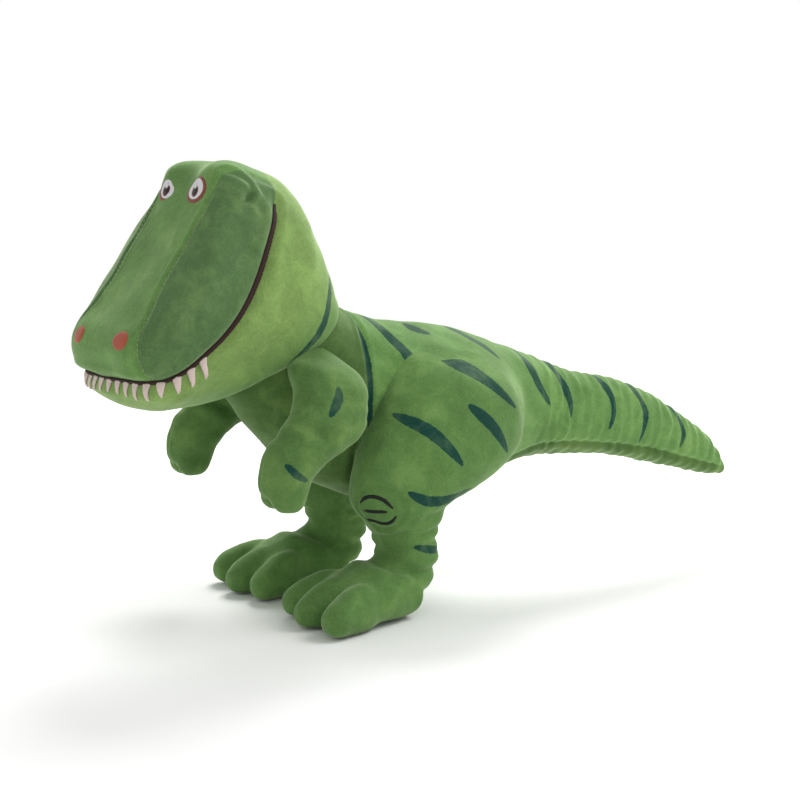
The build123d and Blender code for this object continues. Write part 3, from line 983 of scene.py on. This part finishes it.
def pile_group():
    """Short brushed pile: darker and lighter where the nap is stroked, with fine tufts."""
    group, into, out = new_group(
        "brushed_pile",
        [("Colour", COLOUR, None), ("Where", VECTOR, None), ("Stroke", NUMBER, 0.5), ("Tuft", NUMBER, 0.5)],
        [("Colour", COLOUR), ("Height", NUMBER), ("Roughness", NUMBER)],
    )
    broad = speckle(group, into["Where"], 26, 3, 0.55, 0.6)
    middle = speckle(group, into["Where"], 85, 3, 0.6, 0.8)
    tuft = speckle(group, into["Where"], 620, 3, 0.65, 0.3)
    nap = maths(group, "ADD", maths(group, "MULTIPLY", broad, 0.62), maths(group, "MULTIPLY", middle, 0.38))
    nap = maths(group, "MULTIPLY", maths(group, "SUBTRACT", nap, 0.5), into["Stroke"])
    fine = maths(group, "MULTIPLY", maths(group, "SUBTRACT", tuft, 0.5), into["Tuft"])
    shade = maths(group, "ADD", maths(group, "ADD", nap, fine), 1.0)
    # stroked pile turns yellower where it is lighter
    lit = maths(group, "MULTIPLY", maths(group, "MAXIMUM", nap, 0.0), 0.55)
    feed(group, out["Colour"], mixed(group, lit, toned(group, into["Colour"], shade), LIT_PILE))
    height = maths(group, "ADD", maths(group, "MULTIPLY", tuft, 0.55), maths(group, "MULTIPLY", middle, 0.45))
    feed(group, out["Height"], height)
    feed(group, out["Roughness"], maths(group, "MULTIPLY_ADD", tuft, 0.16, 0.74))
    return group


def zone_group():
    """1 inside a zone, from a distance in millimetres, with a slightly fibrous edge."""
    group, into, out = new_group(
        "cloth_zone",
        [("Inside", NUMBER, 0.0), ("Where", VECTOR, None), ("Fray", NUMBER, 0.6)],
        [("Mask", NUMBER)],
    )
    ragged = speckle(group, into["Where"], 480, 2)
    fray = maths(group, "MULTIPLY", into["Fray"], 3.0)
    far = maths(group, "MULTIPLY_ADD", maths(group, "SUBTRACT", ragged, 0.5), fray, into["Inside"])
    edge = {"From Min": -0.45, "From Max": 0.45, "Value": far}
    ramp = node(group, "ShaderNodeMapRange", edge, interpolation_type="SMOOTHSTEP")
    feed(group, out["Mask"], ramp.outputs[0])
    return group


def thread_group():
    """Satin stitch: fine parallel threads across a patch."""
    group, into, out = new_group(
        "satin_stitch",
        [("Colour", COLOUR, None), ("Where", VECTOR, None), ("Pitch", NUMBER, 1400.0)],
        [("Colour", COLOUR), ("Height", NUMBER)],
    )
    rows = {"Distortion": 0.8, "Detail": 1.0, "Vector": into["Where"], "Scale": into["Pitch"]}
    wave = node(group, "ShaderNodeTexWave", rows, wave_type="BANDS", bands_direction="DIAGONAL")
    fluff = maths(group, "MULTIPLY_ADD", speckle(group, into["Where"], 900, 2), 0.3, 0.68)
    shade = maths(group, "MULTIPLY_ADD", wave.outputs["Fac"], 0.28, fluff)
    feed(group, out["Colour"], toned(group, into["Colour"], shade))
    feed(group, out["Height"], wave.outputs["Fac"])
    return group


GROUPS = {}


def attribute(tree, name, output="Fac"):
    return node(tree, "ShaderNodeAttribute", attribute_name=name).outputs[output]


def placed(tree, name, **inputs):
    """One of the shared groups in a material, with numbers, colours or sockets given to it."""
    return node(tree, "ShaderNodeGroup", inputs, node_tree=GROUPS[name]).outputs


def finish(name, colour, strength, depth, rough=0.85, sheen=0.0, sheen_rough=0.4,
           tint=(1, 1, 1, 1), specular=0.2):
    """Puts the Principled shader of a material together; colour makes its colour and height."""
    material = bpy.data.materials.new(name)
    material.use_nodes = True
    tree = material.node_tree
    shader = tree.nodes["Principled BSDF"]
    made = colour(tree, attribute(tree, "rest", "Vector"))
    bump = node(tree, "ShaderNodeBump", {"Strength": strength, "Distance": depth, "Height": made["Height"]})
    for label, value in (
        ("Base Color", made["Colour"]),
        ("Roughness", made["Roughness"] if "Roughness" in made else rough),
        ("Sheen Weight", sheen),
        ("Sheen Roughness", sheen_rough),
        ("Sheen Tint", tint),
        ("Specular IOR Level", specular),
        ("Normal", bump.outputs["Normal"]),
    ):
        feed(tree, shader.inputs[label], value)
    return material


BODY_GREEN = (0.115, 0.235, 0.065, 1)
# partly the under panels' own darker green, partly painted shade under the belly and the tail
UNDER_PANEL_GREEN_AND_SHADE = (0.070, 0.140, 0.036, 1)
STRIP_GREEN = (0.118, 0.238, 0.068, 1)
CHEEK_GREEN = (0.085, 0.165, 0.060, 1)
JAW_GREEN = (0.195, 0.310, 0.088, 1)
LIMB_GREEN = (0.100, 0.205, 0.056, 1)
ARM_GREEN = (0.085, 0.175, 0.048, 1)
STRIPE_TEAL = (0.008, 0.052, 0.038, 1)
LIT_PILE = (0.42, 0.52, 0.16, 1)
PILE_SHEEN = (0.80, 1.0, 0.62, 1)
RED = (0.36, 0.085, 0.045, 1)
RING_RED = (0.21, 0.055, 0.030, 1)
WHITE = (0.70, 0.68, 0.70, 1)
IRIS = (0.085, 0.020, 0.018, 1)
PUPIL = (0.008, 0.006, 0.006, 1)
CORD = (0.030, 0.009, 0.008, 1)
FELT = (0.62, 0.50, 0.46, 1)
SEAM_THREAD = (0.30, 0.40, 0.17, 1)
KNEE_BLACK = (0.006, 0.008, 0.006, 1)
# label of the zone, its colour, and how ragged its edge is
# the under zone paints that green, so part of its darkness is painted shade
UNDER_PANEL_AND_SHADE_ZONE = ("under", UNDER_PANEL_GREEN_AND_SHADE, 0.2)
STRIPE_ZONE = ("stripe", STRIPE_TEAL, 0.5)


def zone(tree, where, label, fray):
    """The mask of one zone, from the distance noted on the skin under its label."""
    return placed(tree, "cloth_zone", Inside=attribute(tree, label), Where=where, Fray=fray)["Mask"]


def plush(name, tones):
    """Brushed plush; tones makes its colour before the pile shades it."""
    def colour(tree, where):
        return placed(tree, "brushed_pile", Colour=tones(tree, where), Where=where, Stroke=1.15, Tuft=0.7)
    return finish(name, colour, 0.45, 0.0012, sheen=0.45, sheen_rough=0.38, tint=PILE_SHEEN, specular=0.1)


def plush_material(name, base, zones):
    """Plush with zones: (label, colour, fray) painted one over another."""
    def tones(tree, where):
        now = base
        for label, tone, fray in zones:
            now = mixed(tree, zone(tree, where, label, fray), now, tone)
        return now
    return plush(name, tones)


def stitched_material(name, tone, pitch, sheen=0.2):
    def colour(tree, where):
        return placed(tree, "satin_stitch", Colour=tone, Where=where, Pitch=pitch)
    return finish(name, colour, 0.4, 0.0002, rough=0.6, sheen=sheen, specular=0.3)


def felt_material(name, tone):
    def colour(tree, where):
        return placed(tree, "brushed_pile", Colour=tone, Where=where, Stroke=0.25, Tuft=0.35)
    return finish(name, colour, 0.3, 0.0004, sheen=0.25, sheen_rough=0.5, specular=0.1)


def head_material():
    """Cheeks, forehead strip and jaw are cut from three greens."""
    def tones(tree, where):
        upper = mixed(tree, zone(tree, where, "outboard", 0.15), STRIP_GREEN, CHEEK_GREEN)
        jaw = mixed(tree, attribute(tree, "neck_fade"), JAW_GREEN, BODY_GREEN)
        face_tone = mixed(tree, zone(tree, where, "above_mouth", 0.15), jaw, upper)
        return mixed(tree, zone(tree, where, "stripe", 0.5), face_tone, STRIPE_TEAL)
    return plush("plush_head", tones)


# ---------------------------------------------------------------- putting it together
def dress(obj, material):
    obj.data.materials.clear()
    obj.data.materials.append(material)


def sewn_on(name, parts, material, body, stands_for=None):
    """A finished small piece that rides one body, in the place of its CAD piece if it has one."""
    piece = gathered(name, parts)
    dress(piece, material)
    if stands_for:
        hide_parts(stands_for)
    if body == "head":
        turn_piece(piece)
    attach(piece, body)


def metres(point):
    return tuple(place(point).tolist())


def trunk_and_tail(left_arm, left_leg):
    """Body, tail root and tail tip, cut from one skin that the limbs are melded into."""
    trunk = trunk_skin()
    rings = corners(trunk)[:ALONG_TRUNK * AROUND_TRUNK].reshape(ALONG_TRUNK, AROUND_TRUNK, 3).mean(1)
    root = int(np.argmin(np.abs(rings[:, 0] - TAIL_ROOT_X)))
    bend = int(np.argmin(np.abs(rings[:, 0] - TAIL_BEND_X)))
    arm_normals = sew_arm(trunk, left_arm)
    trunk_normals, leg_normals = sew_leg(trunk, left_leg)
    body = stretch(trunk, trunk_normals, "body_plush", root, ALONG_TRUNK - 1)
    tail_base = stretch(trunk, trunk_normals, "tail_base_plush", bend, root)
    tail_tip = stretch(trunk, trunk_normals, "tail_tip_plush", 0, bend)
    bpy.data.objects.remove(trunk)
    # the under zone darkens the belly and the tail's underside, partly as painted shade
    cloth = plush_material("plush_body", BODY_GREEN, [UNDER_PANEL_AND_SHADE_ZONE, STRIPE_ZONE])
    tail_parts = ("under_panel", "left_panel", "right_panel", "stuffing")
    for piece, nodes in (
        (body, ("belly_panel", "left_side_panel", "right_side_panel",
                "body_stuffing", "neck_skin", "neck_stuffing")),
        (tail_base, [f"tail_base_{part}" for part in tail_parts]),
        (tail_tip, [f"tail_tip_{part}" for part in tail_parts]),
    ):
        dress(piece, cloth)
        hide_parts(*nodes)
    neck, lean = neck_as_made()
    metres(neck - NECK_CLOTH_REACH * lean)
    metres(neck - lean)
    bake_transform(body)
    for piece, before, after, x0, x1, z in (
        (tail_base, "body", "tail_base", -80, -130, 137),
        (tail_tip, "tail_base", "tail_tip", -172, -218, 120),
    ):
        metres((x0, 0, z))
        metres((x1, 0, z))
        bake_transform(piece)
    return arm_normals, leg_normals


def neck_as_made():
    """The middle of the neck seam and the way the neck leans, with the head's turn."""
    return turned([NECK_MIDDLE])[0], turned([NECK_AXIS], about=0.0)[0]


def head_and_face():
    head = head_skin()
    on_head = Surface(head)
    dress(head, head_material())
    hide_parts("head_stuffing", "forehead_strip", "left_cheek_panel", "right_cheek_panel",
                "left_jaw_panel", "right_jaw_panel")
    turn_piece(head)
    neck, lean = neck_as_made()
    metres(neck + lean)
    metres(neck + HEAD_CLOTH_REACH * lean)
    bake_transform(head)
    mouth(on_head)
    eyes(on_head)
    nostrils(on_head)
    strip_stitching(on_head)


def limb_pair(kind, left, skin_normals, cloth, start, end, nodes):
    """An arm or a leg on both sides, dressed in its cloth; start and end are turned to points that are not
    used.
    """
    right = mirrored(left, f"right_{kind}_plush")
    if kind == "leg":
        knees(Surface(left))
    for piece, side, sign in ((left, "left", 1), (right, "right", -1)):
        flip = np.array([1, sign, 1])
        piece.data.normals_split_custom_set_from_vertices((skin_normals * flip).tolist())
        dress(piece, cloth)
        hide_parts(*(f"{side}_{name}" for name in nodes))
        top, bottom = metres(np.array(start) * flip), metres(np.array(end) * flip)
        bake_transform(piece)


def build():
    GROUPS.update(brushed_pile=pile_group(), cloth_zone=zone_group(), satin_stitch=thread_group())
    left_leg, left_arm = leg_skin(), arm_skin()
    arm_normals, leg_normals = trunk_and_tail(left_arm, left_leg)
    head_and_face()
    arm_cloth = plush_material("plush_arm", ARM_GREEN, [STRIPE_ZONE])
    limb_pair("arm", left_arm, arm_normals, arm_cloth, (97, 54, 190), (97, 70, 165),
              ("arm_outer_panel", "arm_inner_panel", "arm_stuffing"))
    # the under zone darkens the sole, partly as painted shade
    leg_cloth = plush_material("plush_limb", LIMB_GREEN, [UNDER_PANEL_AND_SHADE_ZONE, STRIPE_ZONE])
    limb_pair("leg", left_leg, leg_normals, leg_cloth, (-5, 46, 135), (-5, 66, 100),
              ("leg_outer_panel", "leg_inner_panel", "leg_stuffing", "foot_upper", "sole", "knee_patch"))


# ---------------------------------------------------------------- face and knees
TEETH_STEP = 10.6
TEETH_A_SIDE = 8
EYE = np.array([171.0, 17.5, 300.0])
EYE_LOOKS = (0.92, 0.22, 0.30)
NOSTRIL, NOSTRIL_LOOKS = (240, 29, 206), (0.97, 0.25, 0.0)
STITCH, STITCH_GAP, STITCH_RADIUS = 2.0, 1.3, 0.32


def mouth(head):
    """The mouth cord, thicker towards the corners, and the felt teeth along it."""
    points, normal = mouth_path(head)
    far = travelled(points)
    middle = far[-1] / 2
    away = np.abs(far - middle) / middle
    radius = 1.35 + 0.9 * smooth(0.3, 0.75, away) - 1.2 * smooth(0.93, 1.0, away)
    cord = [thread(points + normal * 0.5, normal, radius, 0.8, 14, 0.10)]
    cord_thread = stitched_material("mouth_thread", CORD, 900.0, sheen=0.0)
    sewn_on("mouth_cord_thread", cord, cord_thread, "head", "mouth_cord")
    teeth = []
    for count in range(-TEETH_A_SIDE, TEETH_A_SIDE + 1):
        at = middle + count * TEETH_STEP
        base = at_each(at, far, points)
        out = unit(at_each(at, far, normal))
        ahead = unit(at_each(at + 1, far, points) - at_each(at - 1, far, points))
        back = abs(count) / TEETH_A_SIDE
        wide, tall, lean = 6.2 - 0.6 * back, 8.0 + 5.0 * back, 1.2 * np.sign(count)
        teeth.append(tooth(head, base, out, ahead, wide, tall, lean))
    sewn_on("felt_teeth", teeth, felt_material("tooth_felt", FELT), "head", "teeth")


def eyes(head):
    """Each eye is five satin patches, one on another."""
    look = unit(EYE_LOOKS)
    hit, out = head.cast(EYE + 60 * look, -look)
    up = unit(np.array([0, 0, 1.0]) - out * out[2])
    right = np.cross(up, out)
    inner = hit + right * 0.9 - up * 0.6
    white = stitched_material("eye_white_thread", WHITE, 1500.0)
    ring = stitched_material("eye_ring_thread", RING_RED, 1500.0)
    iris = stitched_material("eye_iris_thread", IRIS, 1800.0)
    pupil = stitched_material("eye_pupil_thread", PUPIL, 1800.0)
    # name, middle, outline, height, lift, cloth, roundness
    layers = (
        ("ring", hit, egg(12.0, 9.6, 0.0, 0.05), 1.0, 0.0, ring, 5),
        ("white", hit + up * 0.4, egg(9.4, 7.6, 0.0, 0.05), 0.9, 0.6, white, 6),
        ("iris", inner, egg(4.4, 4.3), 0.5, 1.35, iris, 4),
        ("pupil", inner + up * 0.2, egg(2.9, 2.9), 0.4, 1.7, pupil, 4),
        ("glint", inner + up * 2.9 + right * 0.1, egg(1.3, 1.9), 0.35, 1.95, white, 3),
    )
    for name, at, outline, height, lift, cloth, dome in layers:
        part = [patch(head, at, look, outline, height, lift, 10, 48, dome)]
        for side, made in both_sides(part):
            stands_for = f"{side}_eye_patch" if name == "ring" else None
            sewn_on(f"{side}_eye_{name}", made, cloth, "head", stands_for)


def nostrils(head):
    cloth = felt_material("nostril_felt", RED)
    nostril = [patch(head, NOSTRIL, NOSTRIL_LOOKS, egg(7.6, 6.9, 0.1), 0.9, 0.1, 12, 56, 8)]
    for side, made in both_sides(nostril):
        sewn_on(f"{side}_nostril", made, cloth, "head", f"{side}_nostril_patch")


def strip_stitching(head):
    """Stitches along the seams between the forehead strip and the cheeks."""
    line = []
    for z in np.linspace(292, 172, 160):
        hit, _ = head.cast((330, float(strip_half(z)), z), (-1, 0, 0))
        if hit.shape and mouth_sign(np.array([hit]))[0] > 1.5:
            line.append(hit)
    seam = stitches(head, np.array(line), STITCH, STITCH_GAP, STITCH_RADIUS)
    cloth = stitched_material("seam_thread", SEAM_THREAD, 2500.0)
    for side, made in both_sides(seam):
        sewn_on(f"{side}_cheek_stitching", made, cloth, "head")


def knees(leg):
    """Three embroidered arcs on each knee."""
    black = stitched_material("knee_thread", KNEE_BLACK, 1800.0, sheen=0.0)
    out = unit(KNEE_FACES)
    right = unit(np.cross((0, 0, 1), -out)) * -1
    up = np.cross(out, right)
    if up[2] < 0:
        up = -up
    arcs = []
    for line in (
        [(-12.6, 6.2), (-9.6, 9.6), (-4.2, 10.9), (3.4, 8.6), (9.9, 2.7)],
        [(-10.0, 0.6), (-5.0, 0.2), (1.0, 0.2), (6.0, 0.0)],
        [(-8.4, -6.3), (-3.0, -7.0), (3.4, -8.6), (8.6, -7.4), (12.2, -3.2)],
    ):
        found = [leg.cast(KNEE + 60 * out + right * u + up * v, -out) for u, v in rounded(line, 40)]
        points, normal = evenly(np.array([h for h, _ in found]), np.array([n for _, n in found]), 0.7)
        ends = np.minimum(np.arange(len(points)), np.arange(len(points))[::-1]) / len(points)
        radius = 1.3 * (0.5 + 0.5 * smooth(0, 0.2, ends))
        arcs.append(thread(points + normal * 0.15, normal, radius, 0.6, 10, 0.06))
    for side, made in both_sides(arcs):
        sewn_on(f"{side}_knee_stitching", made, black, f"{side}_leg")


studio()
build()
